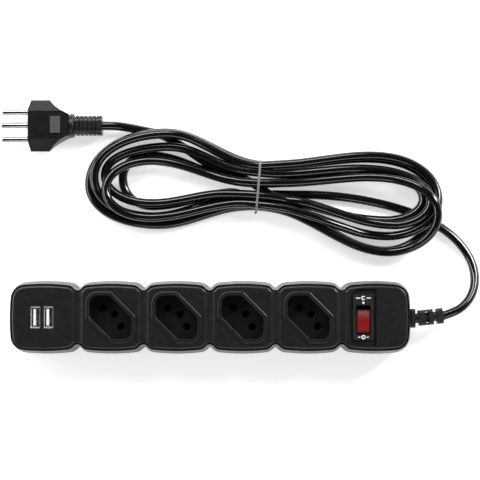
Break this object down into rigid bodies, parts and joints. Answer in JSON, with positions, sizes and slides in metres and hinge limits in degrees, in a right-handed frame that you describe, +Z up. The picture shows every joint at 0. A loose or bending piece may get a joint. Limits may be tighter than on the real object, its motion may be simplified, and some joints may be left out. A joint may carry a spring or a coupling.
{
  "type": "power strip",
  "caption": "Flat power strip with hexagonal three-pin outlets, USB charging ports, a lit rocker switch and a plugged lead tied in a two-loop hank.",
  "frame": {"origin": "centre of the strip's underside, without its cord", "axes": "+X along the strip towards the cord's exit, +Z up out of the outlets, +Y towards the tied cord"},
  "size_m": [0.3307, 0.1757, 0.0374],
  "materials": {
    "housing": "fine satin charcoal",
    "outlet_floor": "matt black",
    "label_plate": "satin charcoal",
    "rocker_red": "glossy translucent red",
    "cord": "semi-gloss black",
    "plug": "satin black",
    "pins": "polished nickel plate",
    "usb_steel": "bright",
    "usb_white": "smooth white",
    "brass": "stamped strip",
    "spring_steel": "drawn wire",
    "lamp_glass": "clear",
    "board": "coated laminate",
    "component": "moulded",
    "wire_brown": "smooth",
    "wire_blue": "smooth",
    "wire_green": "smooth",
    "tie": "coated wire",
    "screw_steel": "zinc plate"
  },
  "bodies": {
    "housing": {"top_cover": "housing", "bottom_cover": "housing", "casing_screws": "screw_steel", "outlet_insert_1": "outlet_floor", "outlet_insert_2": "outlet_floor", "outlet_insert_3": "outlet_floor", "outlet_insert_4": "outlet_floor", "line_busbar": "brass", "neutral_busbar": "brass", "earth_busbar": "brass", "line_contacts": "brass", "neutral_contacts": "brass", "earth_contacts": "brass", "usb_port_1": "usb_steel", "usb_port_2": "usb_steel", "usb_tongue_1": "usb_white", "usb_tongue_2": "usb_white", "usb_contacts_1": "brass", "usb_contacts_2": "brass", "usb_board": "board", "usb_transformer": "component", "usb_capacitors": "component", "switch_plate": "label_plate", "switch_housing": "outlet_floor", "switch_terminals": "brass", "surge_varistor": "component", "live_inlet_wire": "wire_brown", "live_feed_wire": "wire_brown", "neutral_wire": "wire_blue", "earth_wire": "wire_green", "usb_leads": "wire_brown", "strain_relief": "cord", "cord_lead": "cord", "cord_hank": "cord", "cord_tail": "cord", "twist_tie": "tie", "plug_body": "plug", "plug_insert": "usb_white", "plug_boot": "plug", "plug_pin_line": "pins", "plug_pin_neutral": "pins", "plug_pin_earth": "pins"},
    "rocker": {"switch_rocker": "rocker_red", "switch_plunger": "usb_white", "plunger_spring": "spring_steel", "indicator_lamp": "lamp_glass"},
    "seesaw": {"switch_seesaw": "brass"}
  },
  "joints": [
    {"name": "rocker_tilt", "type": "hinge", "parent": "housing", "child": "rocker", "pos_m": [0.1037, -0.0017, 0.0296], "axis": [-1, 0, 0], "range_deg": [0, 20]},
    {"name": "seesaw_tilt", "type": "hinge", "parent": "housing", "child": "seesaw", "pos_m": [0.1037, -0.0017, 0.0213], "axis": [-1, 0, 0], "range_deg": [-16, 0]}
  ],
  "couplings": [
    {"joint": "seesaw_tilt", "follows": "rocker_tilt", "ratio": -0.8}
  ]
}
